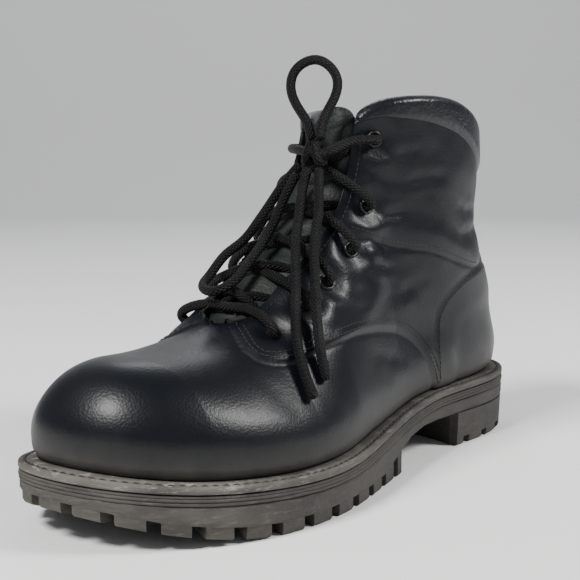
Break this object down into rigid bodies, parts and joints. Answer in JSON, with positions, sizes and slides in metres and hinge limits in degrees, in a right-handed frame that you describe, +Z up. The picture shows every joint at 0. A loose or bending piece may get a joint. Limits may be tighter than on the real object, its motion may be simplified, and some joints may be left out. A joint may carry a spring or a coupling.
{
  "type": "combat boot",
  "caption": "Left ankle-high lace-up combat boot in black leather with a padded collar, a bellows tongue and a lugged rubber sole with a separate heel.",
  "frame": {"origin": "centre of the plan box of the boot, on the ground plane under the lugs and the heel", "axes": "+Y from the toe to the heel, +X towards the outer (lateral) side of the left foot, +Z up"},
  "size_m": [0.1168, 0.3059, 0.1941],
  "materials": {
    "black_leather": "polished, smooth grain",
    "padded_leather": "polished, soft and wrinkled",
    "tongue_leather": "satin, dusty",
    "sole_rubber": "matt, dusty",
    "welt_rubber": "scuffed, with pale wear",
    "insole_leather": "matt",
    "black_enamel": "gloss enamel",
    "black_cord": "braided, waxed"
  },
  "bodies": {
    "root": {"outsole": "sole_rubber", "heel": "sole_rubber", "midsole": "sole_rubber", "welt": "welt_rubber", "insole": "insole_leather", "upper": "black_leather", "collar": "padded_leather", "tongue": "tongue_leather", "eyelet_outer_1": "black_enamel", "eyelet_outer_2": "black_enamel", "eyelet_outer_3": "black_enamel", "eyelet_outer_4": "black_enamel", "eyelet_outer_5": "black_enamel", "eyelet_outer_6": "black_enamel", "eyelet_inner_1": "black_enamel", "eyelet_inner_2": "black_enamel", "eyelet_inner_3": "black_enamel", "eyelet_inner_4": "black_enamel", "eyelet_inner_5": "black_enamel", "eyelet_inner_6": "black_enamel", "lace_crossings": "black_cord", "lace_knot": "black_cord", "lace_loop_upright": "black_cord", "lace_loop_hanging": "black_cord", "lace_end_long": "black_cord", "lace_end_short": "black_cord"}
  },
  "joints": []
}
